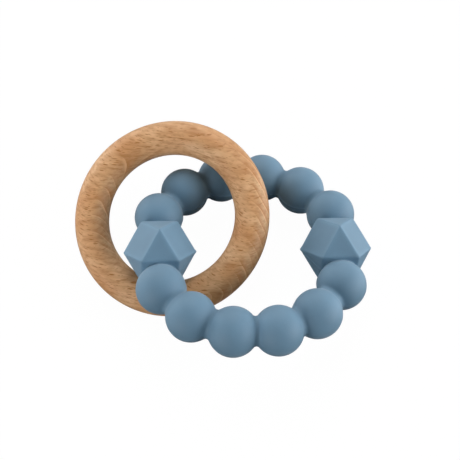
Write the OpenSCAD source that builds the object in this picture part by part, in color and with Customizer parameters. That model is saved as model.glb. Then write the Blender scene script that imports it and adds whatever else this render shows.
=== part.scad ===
// Teething ring: a loop of moulded silicone beads threaded through a turned
// beech ring. Millimetres, +Z up, lying on a table at z = 0, with the origin
// at the bottom centre of its bounding box and its longest side along X.

/* [Bead strand] */
// Diameter of each of the twelve round beads
bead_d = 17.1; // [16.8:0.1:17.2]
// Radius of the two arcs that the centres of the round beads lie on
loop_r = 34.5; // [34.2:0.1:34.8]
// Angle at the middle of the loop from one round bead to the next
bead_pitch = 25.1; // [24.9:0.1:25.3]
// Width of each of the two faceted beads between opposite square faces
facet_bead_w = 17.9; // [17.4:0.1:18]
// Diameter of the neck that joins each bead to the next
neck_d = 10; // [8:0.5:11]

/* [Wooden ring] */
// Outside diameter of the ring
ring_od = 70; // [69.8:0.1:70.1]
// Diameter of the ring's round bar
ring_bar_d = 12.2; // [11.8:0.1:12.3]

/* [Closure inside the strand] */
// Diameter of the locating pin's shaft
pin_shaft_d = 4; // [3:0.5:5]
// Diameter of the head at each end of the pin
pin_head_d = 6.5; // [6:0.5:8]
// Length of each head
pin_head_l = 3; // [2:0.5:4]
// Length of the pin over both heads
pin_l = 16; // [14:0.5:18]
// Thickness of the adhesive film between the strand's two ends
bond_t = 0.2; // [0.1:0.05:0.3]

/* [Rest on the table] */
// Tilt of the strand about X
strand_tilt_x = -10.4; // [-10.6:0.1:-10.2]
// Tilt of the strand about Y, after the tilt about X
strand_tilt_y = 5.8; // [5.6:0.1:6]
// Tilt of the ring about X, as it leans on the beads behind it
ring_tilt_x = 18.2; // [18:0.1:18.4]
// Tilt of the ring about Y, after the tilt about X
ring_tilt_y = -8.4; // [-8.6:0.1:-8.2]
// Centre of the ring from the centre of the strand, along X
ring_dx = -26.4; // [-26.5:0.1:-26.3]
// Centre of the ring from the centre of the strand, along Y
ring_dy = 15; // [15:0.1:15.1]

/* [Hidden] */
$fn = 96;

// Six round beads stand on each arc, three on each side of its middle
arc_steps = [-2.5:1:2.5];
facet_x = loop_r * sin(2.5 * bead_pitch);
facet_edge = facet_bead_w / sqrt(2);
back_arc = [for (i = arc_steps) loop_point(i * bead_pitch, 1)];
front_arc = [for (i = arc_steps) loop_point(-i * bead_pitch, -1)];
round_centres = concat(back_arc, front_arc);
facet_centres = [[facet_x, 0, 0], [-facet_x, 0, 0]];
// All fourteen centres in the order in which they follow one another
loop_order = concat(back_arc, [facet_centres[0]], front_arc, [facet_centres[1]]);

// The strand stands on the lowest corner of a faceted bead or on a round bead
round_drop = max([for (c = round_centres) -tilted_z(c)]) + bead_d / 2;
facet_drop = max([for (c = facet_centres) for (v = facet_corners()) -tilted_z(c + v)]);
strand_z = max(round_drop, facet_drop);

// The ring stands on the lowest point of its round bar
ring_centre_r = (ring_od - ring_bar_d) / 2;
ring_axis = [cos(ring_tilt_x) * sin(ring_tilt_y), -sin(ring_tilt_x),
             cos(ring_tilt_x) * cos(ring_tilt_y)];
ring_z = ring_centre_r * sqrt(1 - ring_axis.z * ring_axis.z) + ring_bar_d / 2;

// Bounding box about the strand's centre, to put the origin in its middle
box_left = ring_dx - ring_centre_r * sqrt(1 - ring_axis.x * ring_axis.x) - ring_bar_d / 2;
box_right = (facet_x + facet_edge) * cos(strand_tilt_y);
box_front = -loop_r * cos(bead_pitch / 2) * cos(strand_tilt_x) - bead_d / 2;
box_back = ring_dy + ring_centre_r * sqrt(1 - ring_axis.y * ring_axis.y) + ring_bar_d / 2;
strand_x = -(box_left + box_right) / 2;
strand_y = -(box_front + box_back) / 2;

// The strand is closed in the neck at the middle of its front arc
closure_y = -loop_r * cos(bead_pitch / 2);
cut_clearance = 1;

function loop_point(angle, side) = [loop_r * sin(angle), side * loop_r * cos(angle), 0];

// Height of a point of the strand once it is tilted
function tilted_z(p) =
    -p.x * sin(strand_tilt_y) + p.y * sin(strand_tilt_x) * cos(strand_tilt_y)
    + p.z * cos(strand_tilt_x) * cos(strand_tilt_y);

// A cuboctahedron with square faces across Y: four corners on the X and Z
// axes, four in front of them and four behind
function facet_corners() = concat(
    [for (a = [0:90:270]) facet_edge * [cos(a), 0, sin(a)]],
    [for (side = [-1, 1]) for (a = [45:90:315])
        facet_bead_w / 2 * [cos(a), side, sin(a)]]);

module facet_bead() {
    squares = concat(
        [[4, 5, 6, 7], [11, 10, 9, 8]],
        [for (k = [0:3]) [k, 4 + k, (k + 1) % 4, 8 + k]]);
    triangles = concat(
        [for (k = [0:3]) [k, 4 + (k + 3) % 4, 4 + k]],
        [for (k = [0:3]) [k, 8 + k, 8 + (k + 3) % 4]]);
    polyhedron(points = facet_corners(), faces = concat(squares, triangles));
}

module neck(start, end) {
    along = end - start;
    translate(start)
        rotate([0, 90, atan2(along.y, along.x)])
            cylinder(h = norm(along), d = neck_d);
}

// A round shaft with a round head at each end, along X
module headed_pin() {
    rotate([0, 90, 0]) {
        cylinder(h = pin_l, d = pin_shaft_d, center = true);
        for (side = [-1, 1])
            translate([0, 0, side * (pin_l - pin_head_l) / 2])
                cylinder(h = pin_head_l, d = pin_head_d, center = true);
    }
}

module closure_disc(diameter) {
    rotate([0, 90, 0]) cylinder(h = bond_t, d = diameter, center = true);
}

module place_strand() {
    translate([strand_x, strand_y, strand_z])
        rotate([strand_tilt_x, strand_tilt_y, 0]) children();
}

module place_closure() {
    place_strand() translate([0, closure_y, 0]) children();
}

module bead_strand() {
    color("#7391a9")
        difference() {
            place_strand() {
                for (c = round_centres) translate(c) sphere(d = bead_d);
                for (c = facet_centres) translate(c) facet_bead();
                for (k = [0:len(loop_order) - 1])
                    neck(loop_order[k], loop_order[(k + 1) % len(loop_order)]);
            }
            place_closure() {
                headed_pin();
                closure_disc(neck_d + cut_clearance);
            }
        }
}

module closure_pin() {
    color("#e8e4da") place_closure() headed_pin();
}

module closure_bond() {
    color("#6b899f")
        place_closure()
            difference() {
                closure_disc(neck_d);
                rotate([0, 90, 0])
                    cylinder(h = bond_t + cut_clearance, d = pin_shaft_d, center = true);
            }
}

module wooden_ring() {
    color("#d2a273")
        translate([strand_x + ring_dx, strand_y + ring_dy, ring_z])
            rotate([ring_tilt_x, ring_tilt_y, 0])
                rotate_extrude()
                    translate([ring_centre_r, 0]) circle(d = ring_bar_d);
}

bead_strand();
closure_pin();
closure_bond();
wooden_ring();
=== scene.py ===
"""Teething ring: a moulded silicone bead strand threaded through a beech ring.

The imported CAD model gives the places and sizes. Each mesh is worked out in
millimetres in its own frame and becomes metres when its piece is made.
"""
import math

import bpy
import numpy as np
from mathutils import Matrix, Quaternion, Vector


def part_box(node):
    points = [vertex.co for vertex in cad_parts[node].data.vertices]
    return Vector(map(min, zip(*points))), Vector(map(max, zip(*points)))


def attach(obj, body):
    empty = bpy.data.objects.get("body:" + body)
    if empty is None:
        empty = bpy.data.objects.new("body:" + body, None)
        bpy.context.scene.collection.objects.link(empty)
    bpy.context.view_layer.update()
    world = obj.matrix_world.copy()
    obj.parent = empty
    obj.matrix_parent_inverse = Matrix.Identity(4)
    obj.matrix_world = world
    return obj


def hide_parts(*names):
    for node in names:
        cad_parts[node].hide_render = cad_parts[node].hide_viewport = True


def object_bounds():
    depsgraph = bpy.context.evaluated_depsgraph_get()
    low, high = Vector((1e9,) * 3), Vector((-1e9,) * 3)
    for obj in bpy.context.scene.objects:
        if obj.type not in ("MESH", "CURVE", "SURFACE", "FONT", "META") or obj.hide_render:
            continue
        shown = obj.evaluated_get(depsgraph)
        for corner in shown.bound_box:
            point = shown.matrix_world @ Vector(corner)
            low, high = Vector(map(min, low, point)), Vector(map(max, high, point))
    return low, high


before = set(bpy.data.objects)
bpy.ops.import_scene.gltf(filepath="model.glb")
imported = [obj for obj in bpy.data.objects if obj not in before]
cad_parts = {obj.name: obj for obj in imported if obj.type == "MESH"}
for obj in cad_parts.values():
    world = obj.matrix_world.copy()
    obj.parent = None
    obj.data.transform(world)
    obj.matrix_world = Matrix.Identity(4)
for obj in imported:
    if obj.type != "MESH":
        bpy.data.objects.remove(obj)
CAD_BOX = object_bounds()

MM = 0.001
UP = np.array([0.0, 0.0, 1.0])
# Mesh attributes: a point's place in its piece's own frame, and how much painted
# highlight lightens the strand's silicone there
OWN_PLACE = "own_place_mm"
PAINTED_HIGHLIGHT = "painted_highlight"

# ---------------------------------------------------------------- sizes, mm
# The strand, as the CAD model has it
BEAD_R = 17.1 / 2
LOOP_R = 34.5
BEAD_PITCH = math.radians(25.1)
FACET_W = 17.9
FACET_EDGE = FACET_W / math.sqrt(2)
STRAND_TILT = (-10.4, 5.8)    # degrees about X, then about Y
# The wooden ring
RING_OD = 70
RING_BAR_D = 12.2
RING_TILT = (18.2, -8.4)      # degrees about X, then about Y
# The closure in the neck at the middle of the front arc
PIN_SHAFT_R = 4 / 2
PIN_HEAD_R = 6.5 / 2
PIN_HEAD_L = 3
PIN_L = 16
BOND_T = 0.2

# What moulding adds to the strand's plain CAD shape
NECK_CORE_R = 5.12       # radius of the neck before its fillets swell it
FILLET = 3.5             # per mm: how tightly two shapes blend where they meet
CLOSURE_FILLET = 10.0    # and at the closure, whose neck is left straighter
CLOSURE_REACH = 2.0      # how far that goes from the closure
FACET_ROUNDING = 10.0    # per mm: how tightly the faceted beads' edges turn
NEIGHBOUR_ROUNDING = 5.0 # and next to the neighbouring beads
NEIGHBOUR_REACH = 2.0    # how far that goes from them
PARTING_INNER_H = 0.16   # height of the mould's parting line inside the loop
PARTING_OUTER_H = 0.03   # and outside it, where it has been trimmed
PARTING_W = 0.24         # its half width
GROOVE_DEPTH = 0.04      # the shallow groove where the strand is closed
GROOVE_W = 0.25          # its half width
SKIN = 0.01              # how far inside the CAD shape the trimmed parting line is
FACET_WAIST = 9.15       # from a faceted bead's centre to its neck's narrowest place

# Painted highlight: silicone lightened where rounded edges and the parting line catch
# light
EDGE_W = 0.8             # the painted highlight on a faceted bead's edge fades out over this
EDGE_DEPTH = 0.3         # and below the surface over this
PARTING_HIGHLIGHT = 1.5   # of the parting line inside the loop, against an edge's 1
HIGHLIGHT_DIMMING = 0.8            # how much fainter an edge is next to a neighbouring bead
HIGHLIGHT_DIMMING_REACH = 1.5      # how far that goes from the bead

# The film stops just under the strand's skin
FILM_RIM = 0.08          # how far inside the neck's outline its two rims are
FILM_CROWN = 0.05        # and its middle
SANDING = 0.012          # the wooden ring's bar is uneven by a few times this

# How finely the strand is divided
AROUND = 144
ROUND_RINGS = 20         # from the middle of a round bead to its neck
FACET_RINGS = 32
FINE = 720               # samples round a neck while its lines are spread out
FINE_PLACES = 400        # samples along half a bead while its rings are spread
HALVINGS = 26            # when a surface point is looked for along its ray
RIM_PLACE = 0.78         # where a faceted bead's square rim falls in its rings
# Bands where lines or rings lie closer together: how many more there are than
# elsewhere, and over what half width
SEAM_BAND = (5, math.radians(3))      # along the parting line
EDGE_BAND = (3, math.radians(3.5))    # along a faceted bead's edges
RIM_BAND = (2.5, 0.045)               # at its square rim, in parts of half a bead
MIDDLE_BAND = (1, 0.08)               # at its middle
NECK_BAND = (1.5, 0.3)                # near a round bead's neck


# ---------------------------------------------------------------- placing
def tilt_matrix(about_x, about_y):
    """Turned about X first and then about Y, both in degrees."""
    turn_x = Matrix.Rotation(math.radians(about_x), 4, "X")
    turn_y = Matrix.Rotation(math.radians(about_y), 4, "Y")
    return turn_y @ turn_x


def place_of(node, tilt):
    """Where a piece's own frame lies: its CAD node's centre, and a tilt."""
    low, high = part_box(node)
    return Matrix.Translation((low + high) / 2) @ tilt_matrix(*tilt)


# ---------------------------------------------------------------- meshes
def grid_faces(rings, around, closed=False):
    """Quads between neighbouring rings, as an array of vertex numbers."""
    rows = np.arange(rings if closed else rings - 1)[:, None]
    columns = np.arange(around)[None, :]
    next_row = (rows + 1) % rings
    next_column = (columns + 1) % around
    corners = [
        rows * around + columns,
        rows * around + next_column,
        next_row * around + next_column,
        next_row * around + columns,
    ]
    return np.stack(corners, axis=-1).reshape(-1, 4)


def end_faces(count, around):
    """The faces that close the first and the last ring of count points."""
    first = list(range(around))[::-1]
    last = list(range(count - around, count))
    return [first, last]


def make_piece(name, points, faces, place, material, normals=None):
    """A smooth mesh object from points in mm in its own frame.

    The mesh keeps each point's place in that frame, for its material.
    normals, where given, has a row for each point. A row of zeros leaves
    that point to Blender's own smooth normals.
    """
    points = np.asarray(points, dtype=float)
    turn = np.array(place.to_3x3())
    mesh = bpy.data.meshes.new(name)
    mesh.from_pydata((points * MM @ turn.T + place.translation).tolist(), [], faces)
    mesh.shade_smooth()
    mesh.materials.append(material)
    own_place = mesh.attributes.new(OWN_PLACE, "FLOAT_VECTOR", "POINT")
    own_place.data.foreach_set("vector", points.ravel())
    if normals is not None:
        corner_points = np.zeros(len(mesh.loops), dtype=np.int64)
        mesh.loops.foreach_get("vertex_index", corner_points)
        mesh.normals_split_custom_set((normals @ turn.T)[corner_points].tolist())
    piece = bpy.data.objects.new(name, mesh)
    bpy.context.scene.collection.objects.link(piece)
    return piece


def spread(places, weights, count):
    """count values out of places, closer together where weights are high.

    The first one is places[0]. The last place isn't reached, because on a
    circle it is the first one again.
    """
    steps = (weights[1:] + weights[:-1]) / 2 * np.diff(places)
    total = np.concatenate([[0.0], np.cumsum(steps)])
    return np.interp(np.linspace(0, total[-1], count, endpoint=False), total, places)


def bump(x, width):
    """1 where x is 0, fading out to 0 over width on both sides."""
    return np.exp(-((x / width) ** 2))


def band(x, extra, width):
    return extra * bump(x, width)


# ---------------------------------------------------------------- the strand
def loop_point(angle, side):
    return np.array([LOOP_R * math.sin(angle), side * LOOP_R * math.cos(angle), 0.0])


ARC_ANGLES = [step * BEAD_PITCH for step in np.arange(-2.5, 3)]
FACET_X = LOOP_R * math.sin(2.5 * BEAD_PITCH)
BACK_ARC = [loop_point(angle, 1) for angle in ARC_ANGLES]
FRONT_ARC = [loop_point(-angle, -1) for angle in ARC_ANGLES]
RIGHT_FACET = np.array([FACET_X, 0.0, 0.0])
# The centres in the order in which they follow one another
CENTRES = [*BACK_ARC, RIGHT_FACET, *FRONT_ARC, -RIGHT_FACET]
BEADS = len(CENTRES)
FACETED = {len(BACK_ARC), BEADS - 1}
# The first bead after the closure, which is in the neck before it
FIRST = len(BACK_ARC) + 1 + len(FRONT_ARC) // 2
CLOSURE = (CENTRES[FIRST - 1] + CENTRES[FIRST]) / 2


def unit(vector):
    return vector / np.linalg.norm(vector)


def neck_direction(k):
    """Along the neck from bead k to the next one."""
    return unit(CENTRES[(k + 1) % BEADS] - CENTRES[k % BEADS])


def waist_distance(k, other):
    """From bead k's centre to the narrowest place of its neck to bead other."""
    k, other = k % BEADS, other % BEADS
    length = np.linalg.norm(CENTRES[k] - CENTRES[other])
    if k in FACETED:
        return FACET_WAIST
    if other in FACETED:
        return length - FACET_WAIST
    return length / 2


def facet_planes():
    """Normals and distances of a faceted bead's six squares and eight triangles."""
    half, third = math.sqrt(0.5), math.sqrt(1 / 3)
    two_thirds = math.sqrt(2 / 3)
    signs = [-1, 1]
    squares = [[0, s, 0] for s in signs]
    squares += [[a * half, 0, b * half] for a in signs for b in signs]
    triangles = [[a * two_thirds, b * third, 0] for a in signs for b in signs]
    triangles += [[0, b * third, a * two_thirds] for a in signs for b in signs]
    distances = [FACET_W / 2] * len(squares)
    distances += [FACET_EDGE * two_thirds] * len(triangles)
    return np.array(squares + triangles), np.array(distances)


FACET_NORMALS, FACET_DISTANCES = facet_planes()


def round_distance(points, centre):
    return np.linalg.norm(points - centre, axis=-1) - BEAD_R


def facet_distance(points, centre):
    """Distance to the faceted bead's planes, with its edges rounded over."""
    across = (points - centre) @ FACET_NORMALS.T - FACET_DISTANCES
    by_neighbour = bump(FACET_W / 2 - np.abs(points[..., 1]), NEIGHBOUR_REACH)
    rounding = FACET_ROUNDING + (NEIGHBOUR_ROUNDING - FACET_ROUNDING) * by_neighbour
    return np.logaddexp.reduce(rounding[..., None] * across, axis=-1) / rounding


def outside_loop(points, steepness):
    """0 well inside the circle of bead centres and 1 well outside it."""
    radius = np.hypot(points[..., 0], points[..., 1])
    return 1 / (1 + np.exp(steepness * (LOOP_R - radius)))


def painted_highlight(points):
    """How much painted highlight lightens the silicone, for the light that rounded edges
    and the raised parting line catch.

    It is 1 where two of a faceted bead's planes meet, less next to the
    neighbouring beads, more on the inner parting line, and 0 elsewhere.
    """
    inside = 1 - outside_loop(points, 2)
    highlight = PARTING_HIGHLIGHT * inside * bump(points[:, 2], PARTING_W)
    by_neighbour = bump(FACET_W / 2 - np.abs(points[:, 1]), HIGHLIGHT_DIMMING_REACH)
    for k in FACETED:
        across = (points - CENTRES[k]) @ FACET_NORMALS.T - FACET_DISTANCES
        across = np.sort(across, axis=-1)
        on_surface = bump(across[:, -1], EDGE_DEPTH)
        between_two = bump(across[:, -1] - across[:, -2], EDGE_W)
        highlight += on_surface * between_two * (1 - HIGHLIGHT_DIMMING * by_neighbour)
    return highlight


def bead_distance(points, k):
    shape = facet_distance if k % BEADS in FACETED else round_distance
    return shape(points, CENTRES[k % BEADS])


def neck_distance(points, k):
    """Distance to the round core between bead k and the next one."""
    start, end = CENTRES[k % BEADS], CENTRES[(k + 1) % BEADS]
    axis = end - start
    along = np.clip((points - start) @ axis / np.dot(axis, axis), 0, 1)
    nearest = start + along[..., None] * axis
    return np.linalg.norm(points - nearest, axis=-1) - NECK_CORE_R


def strand_field(points, beads, necks):
    """Negative inside the moulding that these beads and necks make up."""
    shapes = [bead_distance(points, k) for k in beads]
    shapes += [neck_distance(points, k) for k in necks]
    closure_x = np.where(points[..., 1] < 0, points[..., 0], LOOP_R)
    tightness = FILLET + (CLOSURE_FILLET - FILLET) * bump(closure_x, CLOSURE_REACH)
    blended = -np.logaddexp.reduce([-tightness * d for d in shapes], axis=0) / tightness
    trimmed = outside_loop(points, 1)
    height = PARTING_INNER_H + (PARTING_OUTER_H - PARTING_INNER_H) * trimmed
    parting = height * bump(points[..., 2], PARTING_W)
    groove = GROOVE_DEPTH * bump(closure_x, GROOVE_W)
    return blended + SKIN + PARTING_OUTER_H - parting + groove


def neck_field(k):
    """The field of the neck after bead k and of the two beads that it joins."""
    return lambda points: strand_field(points, (k, k + 1), (k,))


def field_normals(field, points):
    """Outward directions of a field's surface."""
    step = 0.01
    steps = step * np.eye(3)
    slopes = np.stack([field(points + s) - field(points - s) for s in steps], axis=-1)
    return slopes / np.linalg.norm(slopes, axis=-1, keepdims=True)


def surface_distance(field, origins, rays, reach):
    """How far out along each ray the field's surface is, by halving."""
    near, far = np.zeros(len(rays)), reach * np.ones(len(rays))
    for _ in range(HALVINGS):
        middle = (near + far) / 2
        outside = field(origins + middle[:, None] * rays) > 0
        far = np.where(outside, middle, far)
        near = np.where(outside, near, middle)
    return (near + far) / 2


FINE_ANGLES = np.linspace(0, 2 * math.pi, FINE + 1)


def outward_rays(along, angles):
    """Level at angle 0, turning up from there, and all square to along."""
    side = np.array([-along[1], along[0], 0.0])
    return np.outer(np.cos(angles), side) + np.outer(np.sin(angles), UP)


def seam_weights():
    """More lines along the parting line, outside and inside the loop."""
    return 1 + band(np.sin(FINE_ANGLES), *SEAM_BAND)


def edge_weights(fan):
    """More lines along a faceted bead's edges.

    All its edges lie in four planes through its centre. fan is the angle
    from the bead's middle plane at each of the fine angles.
    """
    x = np.cos(fan) * np.cos(FINE_ANGLES)
    y = np.sin(fan)
    z = np.cos(fan) * np.sin(FINE_ANGLES)
    upright = band(math.sqrt(2) * np.abs(x) - y, *EDGE_BAND)
    sloping = band(math.sqrt(2) * np.abs(z) - y, *EDGE_BAND)
    return upright + sloping


def waist_radii(k):
    """Radius of the neck after bead k at each of the fine angles."""
    along = neck_direction(k)
    middle = CENTRES[k % BEADS] + waist_distance(k, k + 1) * along
    rays = outward_rays(along, FINE_ANGLES)
    return surface_distance(neck_field(k), middle, rays, BEAD_R)


def half_places(k):
    """Where the rings of half a bead lie: 0 is its middle and 1 its waist."""
    places = np.linspace(0, 1, FINE_PLACES)
    if k % BEADS in FACETED:
        near_rim = band(places - RIM_PLACE, *RIM_BAND)
        weights = 1 + near_rim + band(places, *MIDDLE_BAND)
        return np.append(spread(places, weights, FACET_RINGS), 1.0)
    weights = 1 + band(places - 1, *NECK_BAND)
    return np.append(spread(places, weights, ROUND_RINGS), 1.0)


def fan_angles(k, place, waist_fan):
    """How far a ring leans out of the bead's middle plane, at each fine angle."""
    if k % BEADS not in FACETED:
        return place * waist_fan
    widest = np.maximum(np.abs(np.cos(FINE_ANGLES)), np.abs(np.sin(FINE_ANGLES)))
    rim_fan = np.arctan2(FACET_W / 2, FACET_EDGE / 2 / widest)
    inner = min(place / RIM_PLACE, 1) * rim_fan
    outer = max(place - RIM_PLACE, 0) / (1 - RIM_PLACE) * (waist_fan - rim_fan)
    return inner + outer


def ring_direction(k, place, toward):
    """Square to the plane of one ring of bead k.

    It turns from the bead's own direction at its middle to its neck's. toward
    is 1 for the half that faces the next bead and -1 for the other.
    """
    before, after = neck_direction(k - 1), neck_direction(k)
    middle = unit(before + after)
    neck = after if toward > 0 else before
    swing = math.atan2(middle[0] * neck[1] - middle[1] * neck[0], middle @ neck)
    heading = math.atan2(middle[1], middle[0]) + place * swing
    return np.array([math.cos(heading), math.sin(heading), 0.0])


def bead_ring(k, place, toward, waist_fan):
    """Points and normals of one ring of bead k, on rays that fan out of its centre."""
    along = ring_direction(k, place, toward)
    fan = fan_angles(k, place, waist_fan)
    weights = seam_weights()
    if k % BEADS in FACETED:
        weights = weights + edge_weights(fan) * min(1, (1 - place) / (1 - RIM_PLACE))
    angles = spread(FINE_ANGLES, weights, AROUND)
    fan = np.interp(angles, FINE_ANGLES, fan)[:, None]
    rays = np.cos(fan) * outward_rays(along, angles) + toward * np.sin(fan) * along

    def field(points):
        return strand_field(points, (k - 1, k, k + 1), (k - 1, k))

    # A ray goes no further than the neck's waist or a little past the widest corner
    least_slope, past_corner = 0.01, 1
    to_waist = waist_distance(k, k + toward) / np.maximum(np.sin(fan[:, 0]), least_slope)
    reach = np.minimum(FACET_EDGE + past_corner, to_waist)
    distances = surface_distance(field, CENTRES[k % BEADS], rays, reach)
    points = CENTRES[k % BEADS] + distances[:, None] * rays
    return points, field_normals(field, points)


def waist_ring(k, shift=0.0):
    """Points and normals round the narrowest place of the neck after bead k."""
    along = neck_direction(k)
    angles = spread(FINE_ANGLES, seam_weights(), AROUND)
    radii = np.interp(angles, FINE_ANGLES, waist_radii(k))[:, None]
    middle = CENTRES[k % BEADS] + (waist_distance(k, k + 1) + shift) * along
    points = middle + radii * outward_rays(along, angles)
    return points, field_normals(neck_field(k), points)


def bead_rings(k):
    """All rings of one bead between its two waists."""
    rings = []
    for toward in (-1, 1):
        neck = k - 1 if toward < 0 else k
        waist_fan = np.arctan2(waist_distance(k, k + toward), waist_radii(neck))
        places = half_places(k)[:-1]
        places = places[::-1] if toward < 0 else places[1:]
        rings += [bead_ring(k, place, toward, waist_fan) for place in places]
    return rings


def socket_rings(toward):
    """The rings of one half of the closure: its flat end and the pin's socket.

    toward is 1 for the half on the +X side, where the strand's skin ends.
    """
    angles = spread(FINE_ANGLES, seam_weights(), AROUND)
    outward = outward_rays(neck_direction(FIRST - 1), angles)
    shaft_end, pin_end = PIN_L / 2 - PIN_HEAD_L, PIN_L / 2
    profile = [
        (PIN_SHAFT_R, BOND_T / 2),
        (PIN_SHAFT_R, shaft_end),
        (PIN_HEAD_R, shaft_end),
        (PIN_HEAD_R, pin_end),
        (PIN_HEAD_R / 2, pin_end),
    ]
    inward = toward * np.array([1.0, 0, 0])
    shapes = [CLOSURE + r * outward + x * inward for r, x in profile]
    return [(points, np.zeros_like(points)) for points in shapes]


def strand_mesh():
    """Points, faces and normals of the whole strand, from closure to closure."""
    last = FIRST + BEADS - 1
    rings = socket_rings(-1)[::-1]
    rings.append(waist_ring(FIRST - 1, BOND_T / 2))
    for k in range(FIRST, last + 1):
        rings += bead_rings(k)
        rings.append(waist_ring(k, -BOND_T / 2 if k == last else 0.0))
    rings += socket_rings(1)
    points = np.concatenate([ring[0] for ring in rings])
    normals = np.concatenate([ring[1] for ring in rings])
    faces = grid_faces(len(rings), AROUND).tolist() + end_faces(len(points), AROUND)
    return points, faces, normals


def closure_bond_mesh():
    """A thin ring of cured adhesive that follows the neck's own outline."""
    skin, _ = waist_ring(FIRST - 1)
    outward = skin - CLOSURE
    radii = np.linalg.norm(outward, axis=1, keepdims=True)
    outward = outward / radii
    half = np.array([BOND_T / 2, 0, 0])
    rim, crown = radii - FILM_RIM, radii - FILM_CROWN
    shaft = PIN_SHAFT_R * np.ones_like(radii)
    profile = [
        (rim, -half),
        (crown, -half / 3),
        (crown, half / 3),
        (rim, half),
        (shaft, half),
        (shaft, -half),
    ]
    rings = [CLOSURE + radius * outward + offset for radius, offset in profile]
    faces = grid_faces(len(rings), AROUND, closed=True).tolist()
    return np.concatenate(rings), faces


def closure_pin_mesh():
    """A lathed pin, its heads chamfered and its shaft filleted, along X."""
    around = 64
    chamfer, fillet = 0.35, 0.25
    end_r = 0.6          # of the face that closes each end
    shaft_end, pin_end = PIN_L / 2 - PIN_HEAD_L, PIN_L / 2
    half = [
        (end_r, pin_end),
        (PIN_HEAD_R - chamfer, pin_end),
        (PIN_HEAD_R - chamfer / 3, pin_end - chamfer / 3),
        (PIN_HEAD_R, pin_end - chamfer),
        (PIN_HEAD_R, shaft_end + chamfer),
        (PIN_HEAD_R - chamfer, shaft_end),
        (PIN_SHAFT_R, shaft_end),
        (PIN_SHAFT_R, shaft_end - fillet),
        (PIN_SHAFT_R, BOND_T / 2),
    ]
    profile = [*half, *[(r, -x) for r, x in reversed(half)]]
    turn = np.linspace(0, 2 * math.pi, around, endpoint=False)
    outward = np.stack([np.zeros(around), np.cos(turn), np.sin(turn)], axis=1)
    rings = [CLOSURE + r * outward + np.array([x, 0, 0]) for r, x in profile]
    points = np.concatenate(rings)
    faces = grid_faces(len(rings), around).tolist() + end_faces(len(points), around)
    return points, [face[::-1] for face in faces]


# ---------------------------------------------------------------- the wooden ring
def wooden_ring_mesh():
    """A turned ring, true to a few hundredths of a millimetre."""
    rings, around = 384, 112
    bar_r = RING_BAR_D / 2
    centre_r = (RING_OD - RING_BAR_D) / 2
    turn = np.linspace(0, 2 * math.pi, rings, endpoint=False)[:, None]
    bar = np.linspace(0, 2 * math.pi, around, endpoint=False)[None, :]
    # Sanding by hand leaves the turned bar very slightly uneven
    unevenness = (
        np.sin(3 * turn + 0.7) * np.cos(2 * bar + 1.1)
        + np.sin(5 * turn + 2.3) * np.cos(bar - 0.4)
        + 0.7 * np.sin(9 * turn - 1.0) * np.cos(4 * bar)
    )
    most_uneven = 1 + 1 + 0.7
    radius = bar_r - SANDING * (most_uneven - unevenness)
    out = centre_r + radius * np.cos(bar)
    height = radius * np.sin(bar)
    points = np.stack([out * np.cos(turn), out * np.sin(turn), height], axis=-1)
    faces = grid_faces(rings, around, closed=True)[:, ::-1].tolist()
    return points.reshape(-1, 3), faces


# ---------------------------------------------------------------- materials
class Shader:
    """Short forms for writing one node tree."""

    def __init__(self, tree):
        self.tree = tree
        tree.nodes.clear()

    def node(self, kind, **settings):
        made = self.tree.nodes.new(kind)
        for name, value in settings.items():
            setattr(made, name, value)
        return made

    def feed(self, socket, value):
        """A socket is linked and anything else becomes the input's own value."""
        if isinstance(value, bpy.types.NodeSocket):
            self.tree.links.new(value, socket)
        else:
            socket.default_value = value

    def maths(self, operation, *values):
        made = self.node("ShaderNodeMath", operation=operation)
        for socket, value in zip(made.inputs, values):
            self.feed(socket, value)
        return made.outputs[0]

    def vector(self, operation, *values):
        made = self.node("ShaderNodeVectorMath", operation=operation)
        for socket, value in zip(made.inputs, values):
            self.feed(socket, value)
        measured = operation in ("LENGTH", "DOT_PRODUCT")
        return made.outputs["Value" if measured else "Vector"]

    def own_place(self):
        """A surface point in its piece's own frame, in millimetres."""
        return self.node("ShaderNodeAttribute", attribute_name=OWN_PLACE).outputs["Vector"]

    def noise(self, place, size, detail, roughness=0.5):
        """Noise from 0 to 1 whose features are about size across."""
        made = self.node("ShaderNodeTexNoise")
        self.feed(made.inputs["Vector"], place)
        made.inputs["Scale"].default_value = 1 / size
        made.inputs["Detail"].default_value = detail
        made.inputs["Roughness"].default_value = roughness
        return made.outputs["Fac"]

    def remap(self, value, low, high, to_low=0.0, to_high=1.0, smooth=False):
        kind = "SMOOTHSTEP" if smooth else "LINEAR"
        made = self.node("ShaderNodeMapRange", interpolation_type=kind)
        for socket, number in zip(made.inputs, (value, low, high, to_low, to_high)):
            self.feed(socket, number)
        return made.outputs["Result"]

    def blend(self, factor, first, second, mode="MIX"):
        made = self.node("ShaderNodeMix", data_type="RGBA", blend_type=mode)
        colours = [socket for socket in made.inputs if socket.type == "RGBA"]
        self.feed(made.inputs["Factor"], factor)
        self.feed(colours[0], first)
        self.feed(colours[1], second)
        return [socket for socket in made.outputs if socket.type == "RGBA"][0]

    def relief(self, height, depth, strength):
        """A bump whose height runs from 0 to 1 over depth millimetres."""
        made = self.node("ShaderNodeBump")
        made.inputs["Strength"].default_value = strength
        made.inputs["Distance"].default_value = depth * MM
        self.feed(made.inputs["Height"], height)
        return made.outputs["Normal"]

    def surface(self, **inputs):
        """The Principled shader, with its inputs named with underscores."""
        shader = self.node("ShaderNodeBsdfPrincipled")
        for name, value in inputs.items():
            self.feed(shader.inputs[name.replace("_", " ")], value)
        output = self.node("ShaderNodeOutputMaterial")
        self.tree.links.new(shader.outputs[0], output.inputs["Surface"])


def new_material(name):
    material = bpy.data.materials.new(name)
    material.use_nodes = True
    return material, Shader(material.node_tree)


def tone(colour, factor):
    return tuple(factor * channel for channel in colour) + (1,)


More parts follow.
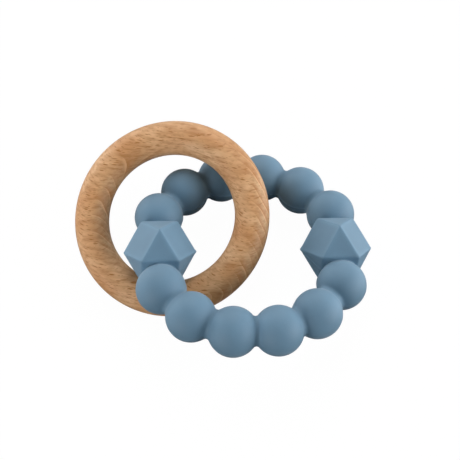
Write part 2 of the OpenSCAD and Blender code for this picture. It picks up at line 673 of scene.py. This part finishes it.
def silicone(name, colour):
    """Matt food-grade silicone: soft, powdery and faintly mottled."""
    material, shade = new_material(name)
    place = shade.own_place()
    cloud = shade.noise(place, 9.0, detail=3.0)
    speckle = shade.noise(place, 0.45, detail=4.0, roughness=0.6)
    clouds = shade.maths("MULTIPLY", cloud, 0.65)
    mottle = shade.maths("MULTIPLY_ADD", speckle, 0.35, clouds)
    skin = shade.remap(mottle, 0.3, 0.7)
    skin = shade.blend(skin, tone(colour, 0.93), tone(colour, 1.06))
    # Painted highlight: the base colour is lightened along faceted edges and the inner
    # parting line
    highlight = shade.node("ShaderNodeAttribute", attribute_name=PAINTED_HIGHLIGHT).outputs["Fac"]
    highlight = shade.maths("MULTIPLY", highlight, 0.18)
    shade.surface(
        Base_Color=shade.blend(highlight, skin, tone(colour, 1.6)),
        Roughness=shade.remap(speckle, 0.3, 0.7, 0.56, 0.66),
        Specular_IOR_Level=0.5,
        Sheen_Weight=0.23,
        Sheen_Roughness=0.45,
        Sheen_Tint=(0.88, 0.86, 0.80, 1),
        Normal=shade.relief(speckle, 0.02, 0.6),
    )
    return material


# How the ring was cut from its board: the grain lies in the ring's plane, at a
# heading from its own X, and the growth layers lean about the grain
GRAIN_HEADING = math.radians(-17)
LAYER_LEAN = math.radians(47)
ALONG = Vector((math.cos(GRAIN_HEADING), math.sin(GRAIN_HEADING), 0))
LEVEL = Vector((-math.sin(GRAIN_HEADING), math.cos(GRAIN_HEADING), 0))
ACROSS = LEVEL * math.cos(LAYER_LEAN) + Vector((0, 0, math.sin(LAYER_LEAN)))
THROUGH = ALONG.cross(ACROSS)
LAYER_T = 3.0            # growth layers, mm
LAYER_SWAY = 3.4         # how far they wander, mm
PITH_DEPTH = 70          # how far below the ring the middle of the tree lay, mm
LAYER_BOW = 0.0043       # how much the layers bend along the grain, per mm
# Ray flecks: the room for one, then its half length and half width, mm
LONG_FLECKS = (3.6, 1.3), (1.5, 0.21)
SHORT_FLECKS = (1.9, 0.8), (0.75, 0.14)
BEECH_CREAM = (0.858, 0.518, 0.265, 1)
BEECH_TAN = (0.728, 0.370, 0.156, 1)
BEECH_LATE = (0.500, 0.203, 0.058, 1)
RAY_BROWN = (0.420, 0.135, 0.010, 1)
FLANK_PAINTED_SHADE = (0.775, 0.805, 0.820, 1)   # painted shade: the neutral grey that darkens the flanks facing +X along the grain


def ray_flecks(shade, place, cell, fleck, seed):
    """Spindle-shaped ray ends: 1 in the middle of a fleck and 0 off it.

    cell is the average room for one fleck and fleck its half length and half
    width, both as (along the grain, across it) in millimetres.
    """
    shrink = shade.vector("MULTIPLY", place, (1 / cell[0], 1 / cell[1], 0))
    shrink = shade.vector("ADD", shrink, (seed, 2.7 * seed, 0))
    cells = shade.node("ShaderNodeTexVoronoi", voronoi_dimensions="2D")
    cells.inputs["Scale"].default_value = 1.0
    shade.feed(cells.inputs["Vector"], shrink)
    away = shade.vector("SUBTRACT", shrink, cells.outputs["Position"])
    spindle = shade.vector("MULTIPLY", away, (cell[0] / fleck[0], cell[1] / fleck[1], 0))
    chance = shade.node("ShaderNodeSeparateColor")
    shade.feed(chance.inputs[0], cells.outputs["Color"])
    reach = shade.remap(chance.outputs[0], 0, 1, 0.4, 1.15)
    near = shade.maths("DIVIDE", shade.vector("LENGTH", spindle), reach)
    depth = shade.remap(chance.outputs[1], 0, 1, 0.5, 1.0)
    return shade.maths("MULTIPLY", shade.remap(near, 1.0, 0.35, smooth=True), depth)


def wood_frame(shade, place):
    """A vector's parts along the grain, across it in a layer, and through the layers."""
    joined = shade.node("ShaderNodeCombineXYZ")
    for socket, axis in zip(joined.inputs, (ALONG, ACROSS, THROUGH)):
        shade.feed(socket, shade.vector("DOT_PRODUCT", place, axis))
    return joined.outputs[0]


def wandering_grain(shade, place):
    """wood_frame's parts of a place, shifted a little as real grain is."""
    straight = wood_frame(shade, place)
    drift = shade.node("ShaderNodeTexNoise")
    shade.feed(drift.inputs["Vector"], straight)
    drift.inputs["Scale"].default_value = 0.08
    wander = shade.vector("SUBTRACT", drift.outputs["Color"], (0.5, 0.5, 0.5))
    wander = shade.vector("MULTIPLY", wander, (0, 0.7, 1.2))
    return shade.vector("ADD", straight, wander)


def growth_layers(shade, grain):
    """Each year's wood: 0 where it starts, rising to 1 at its dark late edge."""
    sway = shade.noise(shade.vector("MULTIPLY", grain, (0.4, 1, 1)), 11.0, 1.0)
    from_pith = shade.vector("MULTIPLY_ADD", grain, (0, 1, 1), (0, 0, PITH_DEPTH))
    pith = shade.vector("LENGTH", from_pith)
    depth = shade.maths("MULTIPLY_ADD", sway, LAYER_SWAY, pith)
    along = shade.vector("DOT_PRODUCT", grain, (1, 0, 0))
    bow = shade.maths("MULTIPLY", shade.maths("MULTIPLY", along, along), LAYER_BOW)
    depth = shade.maths("SUBTRACT", depth, bow)
    return shade.maths("FRACT", shade.maths("MULTIPLY", depth, 1 / LAYER_T))


def surface_facing(shade, place):
    """Which way the bar's surface faces, as parts along, across and through."""
    flat = shade.vector("NORMALIZE", shade.vector("MULTIPLY", place, (1, 1, 0)))
    core = shade.vector("SCALE", flat)
    core.node.inputs["Scale"].default_value = (RING_OD - RING_BAR_D) / 2
    outward = shade.vector("NORMALIZE", shade.vector("SUBTRACT", place, core))
    return wood_frame(shade, outward)


def wood_colour(shade, grain, streaks, cut_across_and_shade):
    """Slow patches, streaks along the grain, and each year's early and late wood."""
    patches = shade.noise(shade.vector("MULTIPLY", grain, (0.6, 1, 1)), 9.0, 2.0)
    colour = shade.blend(shade.remap(patches, 0.35, 0.65), BEECH_CREAM, BEECH_TAN)
    streaky = shade.remap(streaks, 0.42, 0.75, 0.0, 0.75)
    colour = shade.blend(streaky, colour, BEECH_LATE)
    # Painted shade: the flanks facing +X along the grain are darkened by a neutral grey
    colour = shade.blend(cut_across_and_shade, colour, FLANK_PAINTED_SHADE, mode="MULTIPLY")

    uneven = shade.remap(shade.noise(grain, 6.0, 1.0), 0.38, 0.62, 0.4, 1.0)
    boldness = shade.maths("MULTIPLY_ADD", cut_across_and_shade, 0.9, 0.22)
    boldness = shade.maths("MULTIPLY", boldness, uneven)
    year = growth_layers(shade, grain)
    rise = shade.maths("POWER", year, 3.0)
    late = shade.maths("MULTIPLY", rise, shade.remap(year, 1.0, 0.97))
    colour = shade.blend(shade.maths("MULTIPLY", late, boldness), colour, BEECH_LATE)
    early = shade.maths("MULTIPLY", shade.remap(year, 0.22, 0.0), boldness)
    return shade.blend(shade.maths("MULTIPLY", early, 0.75), colour, BEECH_CREAM)


def fleck_pattern(shade, grain, cut_across_and_shade, face_on):
    """All ray flecks: in patches, and fainter on surfaces that cut them badly."""
    flecks = ray_flecks(shade, grain, *LONG_FLECKS, 0.0)
    short = ray_flecks(shade, grain, *SHORT_FLECKS, 31.4)
    flecks = shade.maths("MAXIMUM", flecks, shade.maths("MULTIPLY", short, 0.7))
    for strength in (
        shade.remap(shade.noise(grain, 3.0, 1.0), 0.30, 0.46, 0.3, 1.0),
        shade.remap(cut_across_and_shade, 0, 1, 1.0, 0.55),
        shade.remap(face_on, 0.05, 0.4, 0.3, 1.0),
    ):
        flecks = shade.maths("MULTIPLY", flecks, strength)
    return flecks


def beech(name):
    """Bare sanded beech, one solid piece with the grain running through it."""
    material, shade = new_material(name)
    place = shade.own_place()
    grain = wandering_grain(shade, place)
    facing = surface_facing(shade, place)
    # Flanks facing +X along the grain: their layers show bolder, their flecks fainter, and
    # they carry painted shade
    end_on = shade.vector("DOT_PRODUCT", facing, (1, 0, 0))
    cut_across_and_shade = shade.remap(end_on, 0.05, 0.75, smooth=True)
    face_on = shade.maths("ABSOLUTE", shade.vector("DOT_PRODUCT", facing, (0, 0, 1)))

    streaks = shade.noise(shade.vector("MULTIPLY", grain, (0.14, 1.1, 0.7)), 1.0, 3.0)
    colour = wood_colour(shade, grain, streaks, cut_across_and_shade)
    flecks = fleck_pattern(shade, grain, cut_across_and_shade, face_on)
    pores = shade.noise(shade.vector("MULTIPLY", grain, (0.35, 6, 6)), 1.0, 3.0, 0.7)
    height = shade.maths("MULTIPLY", pores, 0.5)
    height = shade.maths("MULTIPLY_ADD", flecks, -0.1, height)
    shade.surface(
        Base_Color=shade.blend(flecks, colour, RAY_BROWN),
        Roughness=shade.remap(streaks, 0.3, 0.7, 0.50, 0.62),
        Specular_IOR_Level=0.45,
        Sheen_Weight=0.15,
        Sheen_Roughness=0.5,
        Sheen_Tint=(0.45, 0.80, 1.0, 1),
        Normal=shade.relief(height, 0.05, 0.3),
    )
    return material


def pin_plastic(name):
    """Satin injection-moulded plastic, with the faintest moulding texture."""
    material, shade = new_material(name)
    place = shade.own_place()
    flow = shade.noise(shade.vector("MULTIPLY", place, (0.3, 1, 1)), 1.5, 3.0)
    grit = shade.noise(place, 0.2, 2.0)
    shade.surface(
        Base_Color=shade.blend(flow, (0.76, 0.73, 0.66, 1), (0.84, 0.81, 0.75, 1)),
        Roughness=shade.remap(grit, 0.3, 0.7, 0.38, 0.48),
        Normal=shade.relief(grit, 0.01, 0.5),
    )
    return material


# ---------------------------------------------------------------- the scene
def make_strand():
    place = place_of("bead_strand", STRAND_TILT)
    blue = silicone("silicone_blue", (0.151, 0.279, 0.399))
    points, faces, normals = strand_mesh()
    strand = make_piece("silicone_strand", points, faces, place, blue, normals)
    # The painted highlight along faceted edges and the inner parting line
    highlight = strand.data.attributes.new(PAINTED_HIGHLIGHT, "FLOAT", "POINT")
    highlight.data.foreach_set("value", painted_highlight(points))
    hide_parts("bead_strand")
    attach(strand, "strand")


def make_closure():
    place = place_of("bead_strand", STRAND_TILT)
    points, faces = closure_bond_mesh()
    glue = silicone("silicone_bond", (0.158, 0.294, 0.418))
    bond = make_piece("adhesive_film", points, faces, place, glue)
    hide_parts("closure_bond")
    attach(bond, "strand")

    points, faces = closure_pin_mesh()
    pin = make_piece("locating_pin", points, faces, place, pin_plastic("pin_plastic"))
    pin.data.set_sharp_from_angle(angle=math.radians(35))
    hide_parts("closure_pin")
    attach(pin, "strand")


def make_wooden_ring():
    points, faces = wooden_ring_mesh()
    place = place_of("wooden_ring", RING_TILT)
    ring = make_piece("beech_ring", points, faces, place, beech("beech"))
    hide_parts("wooden_ring")
    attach(ring, "ring")


FLOOR_R = 2500           # mm


def make_floor():
    """A wide round pale sheet that the object lies on."""
    material, shade = new_material("pale_floor")
    shade.surface(
        Base_Color=(0.03, 0.03, 0.03, 1),
        Roughness=0.9,
        Specular_IOR_Level=0.0,
        Emission_Color=(1.0, 1.0, 1.0, 1),
        Emission_Strength=0.98,
    )
    corners = 96
    turn = np.linspace(0, 2 * math.pi, corners, endpoint=False)
    rim = np.stack([np.cos(turn), np.sin(turn), np.zeros_like(turn)], axis=1) * FLOOR_R
    sheet = [list(range(corners))]
    floor = make_piece("floor", rim, sheet, Matrix.Identity(4), material)
    floor.visible_diffuse = False
    floor.visible_glossy = False
    floor.visible_shadow = False


# Soft light: each lobe is (azimuth from +X, elevation, strength), the angles in degrees
LIGHT_LOBES = [
    (0, 12, 5.8),
    (25, -10, 5.1),
    (77, 35, 4.8),
    (90, 60, 3.3),
    (135, 12, 6.5),
    (180, -10, 2.2),
    (206, 35, 1.6),
    (225, 12, 6.4),
    (335, 35, 1.5),
    (338, 12, 5.0),
]
LOBE_TIGHTNESS = 24


def make_light():
    """A studio dome: wide soft patches of light round the object."""
    world = bpy.data.worlds.new("studio")
    bpy.context.scene.world = world
    world.use_nodes = True
    shade = Shader(world.node_tree)
    generated = shade.node("ShaderNodeTexCoord").outputs["Generated"]
    direction = shade.vector("NORMALIZE", generated)
    total = 0.0
    for azimuth, elevation, strength in LIGHT_LOBES:
        turn, rise = math.radians(azimuth), math.radians(elevation)
        toward = Vector((math.cos(turn), math.sin(turn), 0)) * math.cos(rise)
        toward.z = math.sin(rise)
        lean = shade.vector("DOT_PRODUCT", direction, toward)
        falloff = shade.maths("MULTIPLY_ADD", lean, LOBE_TIGHTNESS, -LOBE_TIGHTNESS)
        glow = shade.maths("EXPONENT", falloff)
        total = shade.maths("MULTIPLY_ADD", glow, strength, total)
    lamp = shade.node("ShaderNodeBackground")
    shade.feed(lamp.inputs["Strength"], total)
    backdrop = shade.node("ShaderNodeBackground")
    backdrop.inputs["Color"].default_value = (0.93, 0.94, 0.95, 1)
    seen = shade.node("ShaderNodeLightPath").outputs["Is Camera Ray"]
    choice = shade.node("ShaderNodeMixShader")
    shade.feed(choice.inputs[0], seen)
    shade.feed(choice.inputs[1], lamp.outputs[0])
    shade.feed(choice.inputs[2], backdrop.outputs[0])
    output = shade.node("ShaderNodeOutputWorld")
    shade.feed(output.inputs["Surface"], choice.outputs[0])


# The camera. It looks at a point this far from the middle of the CAD box, in mm
CAMERA_AIM = (3.07, 5.13, -0.4)
CAMERA_DISTANCE = 387    # mm
CAMERA_AZIMUTH = math.radians(1.34)
CAMERA_ELEVATION = math.radians(61.32)
CAMERA_ROLL = math.radians(-5.03)
CAMERA_LENS = 86.3       # on a sensor 36 mm wide


def make_camera():
    low, high = CAD_BOX
    aim = (low + high) / 2 + Vector(CAMERA_AIM) * MM
    level = math.cos(CAMERA_ELEVATION)
    back = Vector((
        math.sin(CAMERA_AZIMUTH) * level,
        -math.cos(CAMERA_AZIMUTH) * level,
        math.sin(CAMERA_ELEVATION),
    ))
    camera = bpy.data.objects.new("camera", bpy.data.cameras.new("camera"))
    bpy.context.scene.collection.objects.link(camera)
    camera.data.sensor_width = 36
    camera.data.lens = CAMERA_LENS
    camera.data.clip_start = 0.01
    camera.data.clip_end = 20
    camera.location = aim + back * CAMERA_DISTANCE * MM
    camera.rotation_mode = "QUATERNION"
    level_view = (-back).to_track_quat("-Z", "Y")
    camera.rotation_quaternion = level_view @ Quaternion((0, 0, 1), CAMERA_ROLL)
    bpy.context.scene.camera = camera


make_camera()
make_light()
make_floor()
make_strand()
make_closure()
make_wooden_ring()
bpy.context.scene.view_settings.view_transform = "Standard"
